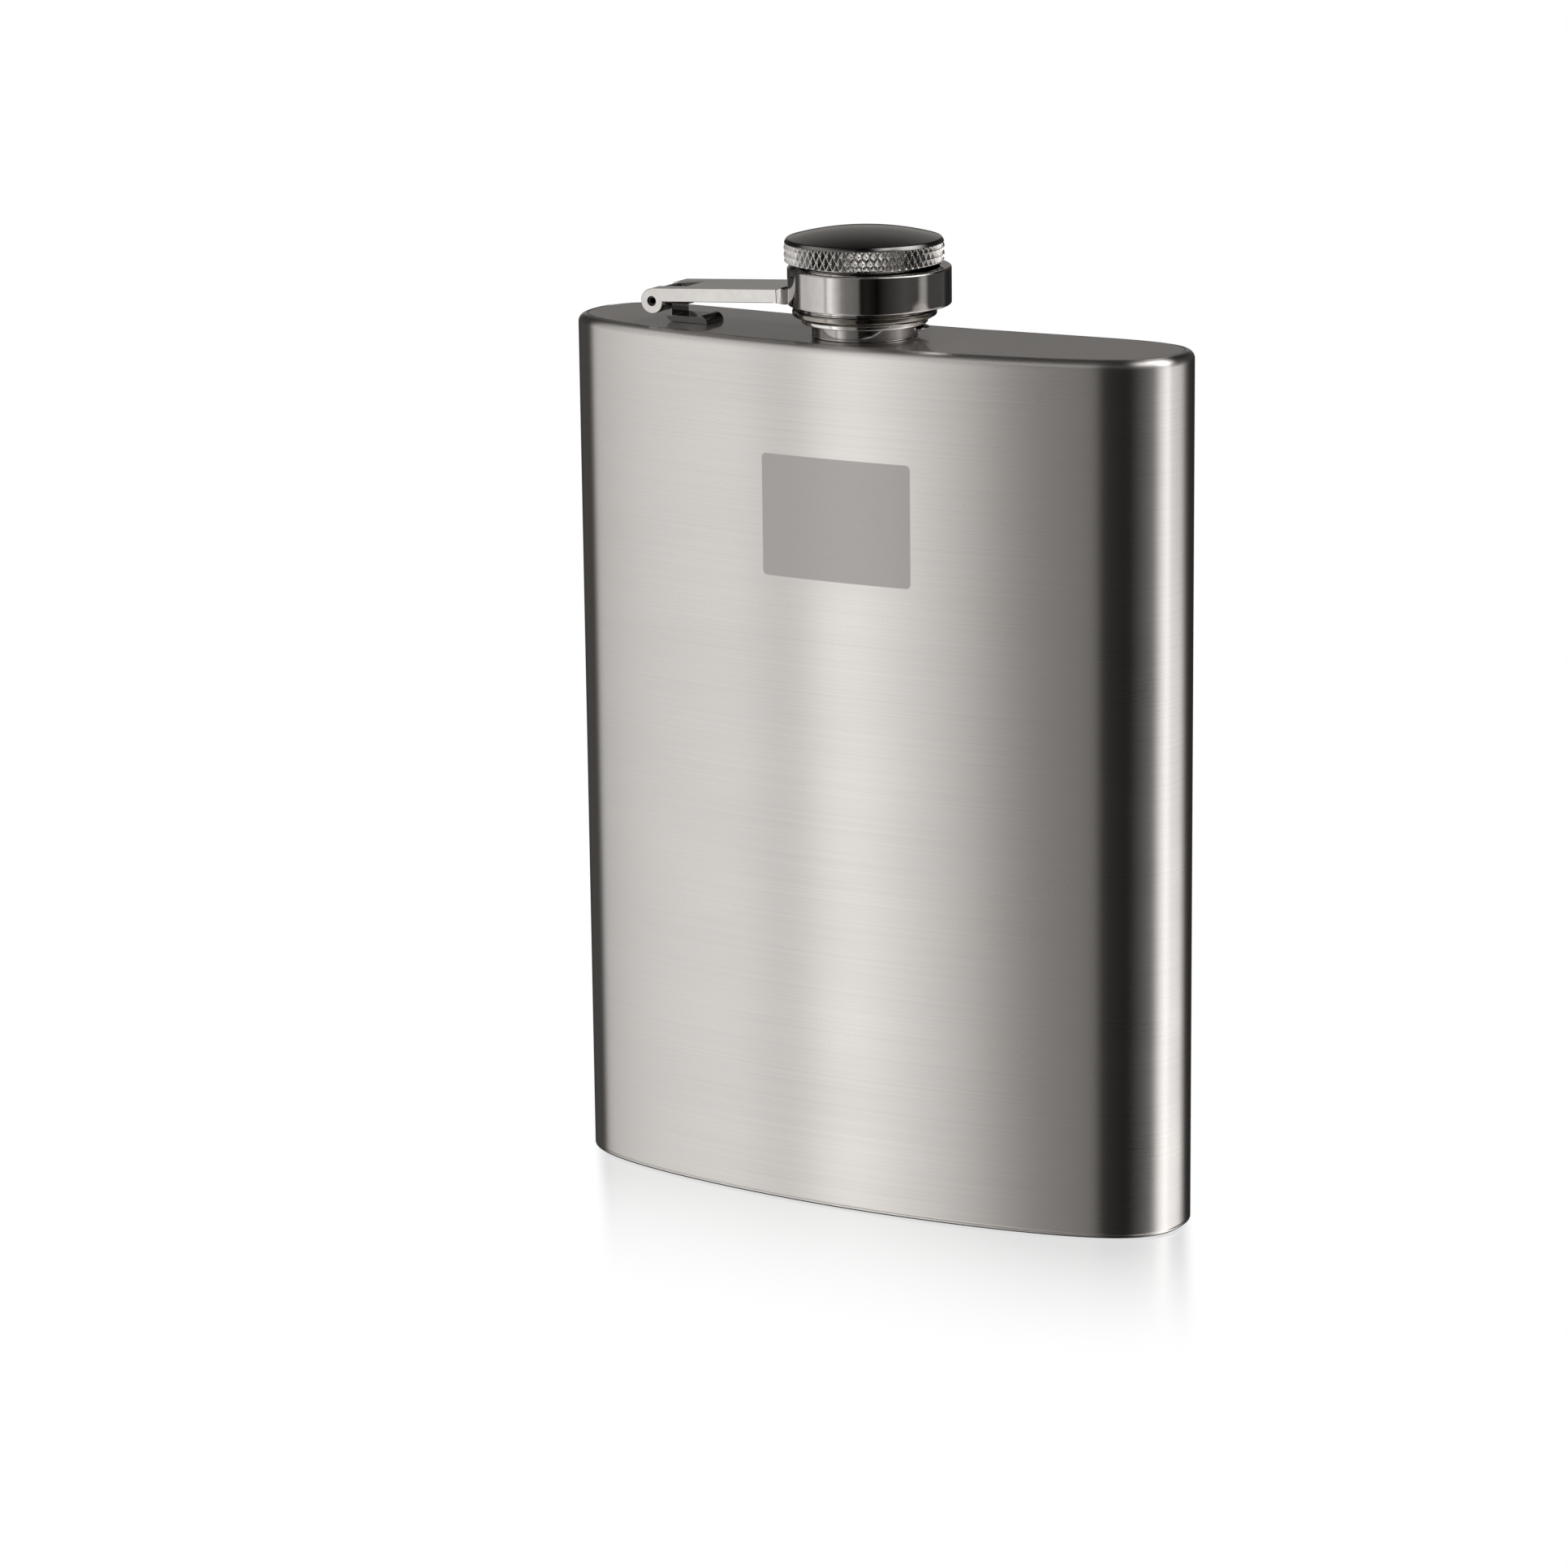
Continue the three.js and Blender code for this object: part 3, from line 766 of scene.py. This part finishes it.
def head():
    n_d, per = 64, 18
    n = n_d * per
    pitch = 2 * math.pi * HEAD_R / n_d
    rise = 2.0
    a = 10.60
    hgt = TOP_Z - SHOULDER
    R = (a * a + hgt * hgt) / (2 * hgt)
    rows = np.linspace(KN_LO + 0.14, KN_HI - 0.10, 40)
    prof = [(10.1, KN_LO + 0.05), (10.35, KN_LO), (HEAD_R - 0.42, KN_LO), (HEAD_R - 0.30, KN_LO + 0.02)]
    prof += [(HEAD_R, z) for z in rows]
    prof += [(HEAD_R - 0.16, KN_HI - 0.02), (HEAD_R - 0.06, KN_HI + 0.01), (HEAD_R - 0.08, KN_HI + 0.05)]
    prof += list(rounded([(HEAD_R - 0.08, KN_HI + 0.05), (HEAD_R - 0.10, KN_HI + 0.12, 0.1), (10.66, SHOULDER - 0.02, 0.25),
                          (a - 0.10, SHOULDER + 0.027)], closed=False)[1:-1])
    for r in np.r_[np.linspace(a - 0.12, 1.0, 30), 0.0]:
        prof.append((r, TOP_Z - R + math.sqrt(R * R - r * r)))
    # inside of the drawn cup
    inner = [(0.0, TOP_Z - 1.1), (6.0, TOP_Z - 1.35), (9.6, KN_HI - 0.55), (10.1, KN_HI - 1.1), (10.1, KN_LO + 0.05)]
    prof = np.array(prof)
    k = len(prof)
    th = np.arange(n) * 2 * math.pi / n
    T = np.repeat(th[None], k, 0)
    Rr = np.repeat(prof[:, 0][:, None], n, 1)
    Zz = np.repeat(prof[:, 1][:, None], n, 1)
    u = T / (2 * math.pi) * n_d
    v = (Zz - KN_LO) / rise
    ta = 1 - np.abs(((u + v) % 1.0) - 0.5) * 2
    tb = 1 - np.abs(((u - v) % 1.0) - 0.5) * 2
    peak = np.minimum(np.minimum(ta, tb) / 0.86, 1.0)
    band = (np.abs(Rr - HEAD_R) < 1e-6)
    # the tool's marks run out at both edges of the band
    edge = np.clip(np.minimum(Zz - (KN_LO + 0.02), (KN_HI - 0.03) - Zz) / 0.18, 0, 1)
    depth = 0.34
    Rr = np.where(band, Rr - depth * (1 - peak) * 1.0 - 0.16 * (1 - edge), Rr)
    V = np.stack([AX + Rr * np.cos(T), AY + Rr * np.sin(T), H + Zz], -1).reshape(-1, 3)
    V = list(map(tuple, V))
    F = []
    mats = []
    for i in range(k - 1):
        for j in range(n):
            j2 = (j + 1) % n
            if prof[i + 1, 0] < 1e-6:
                F.append((i * n + j, i * n + j2, (i + 1) * n))
            else:
                F.append((i * n + j, i * n + j2, (i + 1) * n + j2, (i + 1) * n + j))
    # inner skin
    base_ring = 0
    start = len(V)
    V.append((AX, AY, H + inner[0][1]))
    rings = []
    m = n
    for r, z in inner[1:-1]:
        rings.append(len(V))
        V += [(AX + r * math.cos(t), AY + r * math.sin(t), H + z) for t in th]
    for j in range(n):
        j2 = (j + 1) % n
        F.append((start, rings[0] + j2, rings[0] + j))
        for q in range(len(rings) - 1):
            F.append((rings[q] + j, rings[q] + j2, rings[q + 1] + j2, rings[q + 1] + j))
        F.append((rings[-1] + j, rings[-1] + j2, base_ring + j2, base_ring + j))
    used = sorted({i for f in F for i in f})
    index = {o: c for c, o in enumerate(used)}
    V = [V[i] for i in used]
    F = [tuple(index[i] for i in f) for f in F]
    ob = mesh_object("knurled_head", V, F, angle=50)
    ob.data.materials.append(M_KNURL)
    ob.data.materials.append(M_DOME)
    ob.data.materials.append(M_LIP_SHADE)
    # painted shade: the rounded shoulder between the knurl and the dome gets the darker lip material
    z_split = (H + KN_HI + 0.0) * 0.001
    for poly in ob.data.polygons:
        if poly.center.z > z_split and math.hypot(poly.center.x - AX * 0.001, poly.center.y - AY * 0.001) < 0.01094:
            high = poly.center.z > (H + SHOULDER + 0.035) * 0.001
            poly.material_index = 1 if high else 2
    return ob


h_ob = head()
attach(h_ob, CAP)
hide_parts("cap_head")


def barrel():
    prof = list(rounded([(0, 10.4), (8.2, 10.4, 0.2), (8.2, 9.4)], closed=False))
    zs = np.linspace(9.3, 2.4, 100)
    prof += [np.array((8.2, z)) for z in zs]
    prof += list(rounded([(8.2, 2.2), (8.2, 1.8, 0.12), (8.7, 1.8, 0.18), (8.7, 10.4, 0.1), (10.0, 10.4, 0.1),
                          (10.0, 11.2, 0.15), (0, 11.2)], closed=False))

    def thread(T, R, Z):
        ph = ((Z - 2.3) / PITCH - T / (2 * math.pi)) % 1.0
        tri = 1 - np.abs(ph) / 0.36
        tri = np.maximum(tri, 1 - np.abs(ph - 1) / 0.36)
        ridge = np.clip(tri * 1.35, 0, 1)
        ridge = ridge * ridge * (3 - 2 * ridge)
        fade = np.clip((Z - 2.4) / 0.6, 0, 1) * np.clip((9.2 - Z) / 0.5, 0, 1)
        on = (np.abs(R - 8.2) < 1e-4) & (Z > 2.39) & (Z < 9.31)
        return np.where(on, -0.26 * ridge * fade, 0.0)

    return lathe("cap_sleeve", prof, n=240, closed=False, angle=60, shift=thread)


# painted highlight: the sleeve gets the brighter steel
finish_piece(barrel(), M_SLEEVE_LIT, CAP, ["cap_barrel"])
# painted shade: the collar is coloured darker for the shade under the cap
collar = lathe("stop_collar", rounded([
    (8.74, 2.4, 0.05), (9.0, 2.4, 0.12), (9.94, 2.92, 0.22), (9.94, 3.7, 0.30), (8.74, 3.7, 0.05)], steps=6), n=320)
finish_piece(collar, M_COLLAR_SHADE, CAP, ["retaining_collar"])
seal = lathe("seal_disc", [
    (0, 9.1), (5.2, 9.1), (5.45, 9.16), (5.7, 9.22), (5.95, 9.16), (6.2, 9.1), (7.5, 9.1), (7.75, 9.18), (7.88, 9.4),
    (7.88, 10.0), (7.75, 10.25), (7.5, 10.3), (0, 10.3)], n=192, closed=False, angle=50)
finish_piece(seal, M_SILICONE, CAP, ["cap_seal"])


# ------------------------------------------------------------------ floor, light, camera
def floor():
    bpy.ops.mesh.primitive_plane_add(size=12.0, location=(0, 0, 0))
    ob = bpy.context.object
    ob.name = "floor"
    m, nt, b = material("floor")
    nt.nodes.remove(b)
    obj = node(nt, "ShaderNodeTexCoord").outputs["Object"]
    sep = node(nt, "ShaderNodeSeparateXYZ")
    nt.links.new(obj, sep.inputs[0])
    x, y = sep.outputs[0], sep.outputs[1]
    # a soft sheen on the floor along the front of the object, fading away from its foot
    qx = math_node(nt, "MAXIMUM", math_node(nt, "SUBTRACT", math_node(nt, "ABSOLUTE", x), 0.038), 0.0)
    qy = math_node(nt, "MAXIMUM", math_node(nt, "SUBTRACT", math_node(nt, "ABSOLUTE", y), 0.003), 0.0)
    d = math_node(nt, "SUBTRACT", math_node(nt, "SQRT", math_node(nt, "ADD", math_node(nt, "MULTIPLY", qx, qx), math_node(nt, "MULTIPLY", qy, qy))), 0.009)
    fade = map_range(nt, d, 0.0, 0.044, 1.0, 0.0)
    fade = math_node(nt, "POWER", math_node(nt, "MAXIMUM", fade, 0.0), 1.6)
    s_ = math_node(nt, "ADD", math_node(nt, "MULTIPLY", x, 0.8632), math_node(nt, "MULTIPLY", y, 0.5049))
    t_ = math_node(nt, "SUBTRACT", math_node(nt, "MULTIPLY", x, 0.5049), math_node(nt, "MULTIPLY", y, 0.8632))
    lat = math_node(nt, "DIVIDE", s_, math_node(nt, "SUBTRACT", 1.0, math_node(nt, "MULTIPLY", t_, 1.31)))
    left = map_range(nt, lat, -0.0400, -0.0375, 0.0, 1.0, True)
    right = map_range(nt, lat, 0.0428, 0.0452, 1.0, 0.0, True)
    fade = math_node(nt, "MULTIPLY", math_node(nt, "MULTIPLY", left, right), fade)
    em = node(nt, "ShaderNodeEmission")
    gl = node(nt, "ShaderNodeBsdfGlossy")
    gl.inputs["Roughness"].default_value = 0.16
    mx = node(nt, "ShaderNodeMixShader")
    nt.links.new(math_node(nt, "MULTIPLY", fade, 0.30), mx.inputs[0])
    nt.links.new(em.outputs[0], mx.inputs[1])
    nt.links.new(gl.outputs[0], mx.inputs[2])
    nt.links.new(mx.outputs[0], nt.nodes["Material Output"].inputs[0])
    ob.data.materials.append(m)
    ob.visible_glossy = False


floor()

# Studio round the object.  Azimuth is degrees from -Y towards +X.
LOW = [  # radiance near the horizon, by azimuth
    (-180, 0.03), (-150, 0.03), (-128, 0.05), (-112, 0.075), (-90, 0.065), (-86, 0.20), (-82, 0.72), (-70, 0.70),
    (-55, 0.83), (-45, 0.91), (-39, 0.94), (-36.5, 0.66), (-34, 0.68), (-31, 1.14), (-26, 1.18), (-22, 0.86), (-16, 0.59),
    (-10, 0.32), (-4, 0.24), (6, 0.21), (13, 0.18), (17, 0.012), (25, 0.02), (32, 0.012), (40, 0.004), (60, 0.05), (78, 0.09),
    (100, 0.08), (108, 0.45), (114, 0.40), (120, 0.08), (148, 0.08), (156, 0.10), (164, 0.03), (180, 0.02),
]
SOFTBOX = 2.7


def world():
    w = bpy.data.worlds.new("studio")
    bpy.context.scene.world = w
    w.use_nodes = True
    nt = w.node_tree
    nt.nodes.clear()
    out = nt.nodes.new("ShaderNodeOutputWorld")
    tc = nt.nodes.new("ShaderNodeTexCoord")
    sep = nt.nodes.new("ShaderNodeSeparateXYZ")
    nt.links.new(tc.outputs["Generated"], sep.inputs[0])
    x, y, z = sep.outputs
    az = math_node(nt, "ARCTAN2", x, math_node(nt, "MULTIPLY", y, -1.0))  # 0 at -Y, +90 at +X
    azd = math_node(nt, "MULTIPLY", az, 180 / math.pi)
    top_v = max(v for _, v in LOW)

    def ramp(lo, hi):
        pts = [(a, v) for a, v in LOW if lo <= a <= hi]
        n = nt.nodes.new("ShaderNodeValToRGB")
        nt.links.new(map_range(nt, azd, lo, hi, 0.0, 1.0), n.inputs[0])
        cr = n.color_ramp
        cr.interpolation = "LINEAR"
        cr.elements[0].position, cr.elements[1].position = 0.0, 1.0
        cr.elements[0].color = (pts[0][1] / top_v,) * 3 + (1,)
        cr.elements[1].color = (pts[-1][1] / top_v,) * 3 + (1,)
        for a, v in pts[1:-1]:
            e = cr.elements.new((a - lo) / (hi - lo))
            e.color = (v / top_v,) * 3 + (1,)
        return n.outputs[0]

    right_half = math_node(nt, "GREATER_THAN", azd, -31.0)
    low = math_node(nt, "MULTIPLY", mix_value(nt, right_half, ramp(-180, -31), ramp(-31, 180)), top_v)
    elev = math_node(nt, "MULTIPLY", math_node(nt, "ARCSINE", z), 180 / math.pi)
    front = math_node(nt, "MULTIPLY", y, -1.0)
    # just above the horizon the studio is dimmer
    dim = map_range(nt, elev, 1.0, 7.0, 1.0, 0.62, True)
    level = math_node(nt, "MULTIPLY", low, dim)
    # overhead: a broad light over the front
    over = map_range(nt, front, -0.20, 0.30, 0.012, 0.76, True)
    over = mix_value(nt, map_range(nt, elev, 40.0, 56.0, 0.0, 1.0, True), over, 0.04)
    gap = math_node(nt, "MULTIPLY", map_range(nt, azd, 8.0, 18.0, 0.0, 1.0, True), map_range(nt, azd, 62.0, 80.0, 1.0, 0.0, True))
    over = math_node(nt, "MULTIPLY", over, map_range(nt, gap, 0.0, 1.0, 1.0, 0.25))
    level = mix_value(nt, map_range(nt, elev, 24.0, 38.0, 0.0, 1.0, True), level, over)
    # a high softbox at the right
    inside = math_node(nt, "MULTIPLY", map_range(nt, azd, 74.0, 110.0, 0.0, 1.0, True), map_range(nt, azd, 145.0, 160.0, 1.0, 0.0, True))
    tall = math_node(nt, "MULTIPLY", map_range(nt, elev, 14.0, 26.0, 0.0, 1.0, True), map_range(nt, elev, 66.0, 76.0, 1.0, 0.0, True))
    level = mix_value(nt, math_node(nt, "MULTIPLY", inside, tall), level, SOFTBOX)
    # and its pool of light on the floor
    pool = math_node(nt, "MULTIPLY", inside, map_range(nt, elev, -13.5, -11.0, 1.0, 0.0, True))
    level = mix_value(nt, pool, level, 1.80)
    # a second softbox over the right-hand end
    inside = math_node(nt, "MULTIPLY", map_range(nt, azd, 42.0, 82.0, 0.0, 1.0, True), map_range(nt, azd, 84.0, 100.0, 1.0, 0.0, True))
    tall = math_node(nt, "MULTIPLY", map_range(nt, elev, 48.0, 54.0, 0.0, 1.0, True), map_range(nt, elev, 70.0, 78.0, 1.0, 0.0, True))
    level = mix_value(nt, math_node(nt, "MULTIPLY", inside, tall), level, 2.6)
    # behind the object: grey at the horizon, dark above
    back = map_range(nt, front, -0.75, -0.35, 1.0, 0.0, True)
    far = map_range(nt, elev, 3.0, 15.0, 0.26, 0.16, True)
    far = mix_value(nt, map_range(nt, elev, 10.0, 42.0, 0.0, 1.0, True), far, 0.012)
    # that grey is a panel straight behind the camera's line, darker to both sides of it
    span = math_node(nt, "MULTIPLY", map_range(nt, azd, -170.0, -158.0, 0.0, 1.0, True), map_range(nt, azd, -143.0, -129.0, 1.0, 0.0, True))
    far = math_node(nt, "MULTIPLY", far, map_range(nt, span, 0.0, 1.0, 0.30, 1.07))
    up = map_range(nt, elev, 0.0, 3.0, 0.0, 1.0, True)
    level = mix_value(nt, math_node(nt, "MULTIPLY", back, up), level, far)
    bg = nt.nodes.new("ShaderNodeBackground")
    tint = nt.nodes.new("ShaderNodeCombineColor")
    nt.links.new(level, tint.inputs[0])
    nt.links.new(math_node(nt, "MULTIPLY", level, map_range(nt, level, 0.08, 0.8, 0.962, 0.988)), tint.inputs[1])
    nt.links.new(math_node(nt, "MULTIPLY", level, map_range(nt, level, 0.08, 0.8, 0.925, 0.980)), tint.inputs[2])
    nt.links.new(tint.outputs[0], bg.inputs[0])
    plain = nt.nodes.new("ShaderNodeBackground")
    plain.inputs[0].default_value = (1, 1, 1, 1)
    lp = nt.nodes.new("ShaderNodeLightPath")
    mix = nt.nodes.new("ShaderNodeMixShader")
    nt.links.new(lp.outputs["Is Camera Ray"], mix.inputs[0])
    nt.links.new(bg.outputs[0], mix.inputs[1])
    nt.links.new(plain.outputs[0], mix.inputs[2])
    nt.links.new(mix.outputs[0], out.inputs[0])


world()


def camera():
    from mathutils import Matrix

    cam = bpy.data.cameras.new("camera")
    ob = bpy.data.objects.new("camera", cam)
    bpy.context.scene.collection.objects.link(ob)
    right = Vector((0.8646043, 0.5023100, -0.0120008))
    up = Vector((-0.1099744, 0.2124915, 0.9709547))
    back = right.cross(up)
    m = Matrix((right, up, back)).transposed().to_4x4()
    m.translation = Vector((0.3754447, -0.6663110, 0.2471069))
    ob.matrix_world = m
    cam.sensor_width = 36.0
    cam.lens = 129.1247
    cam.clip_start, cam.clip_end = 0.05, 50.0
    bpy.context.scene.camera = ob


camera()
scene = bpy.context.scene
scene.view_settings.view_transform = "Standard"
scene.view_settings.look = "None"
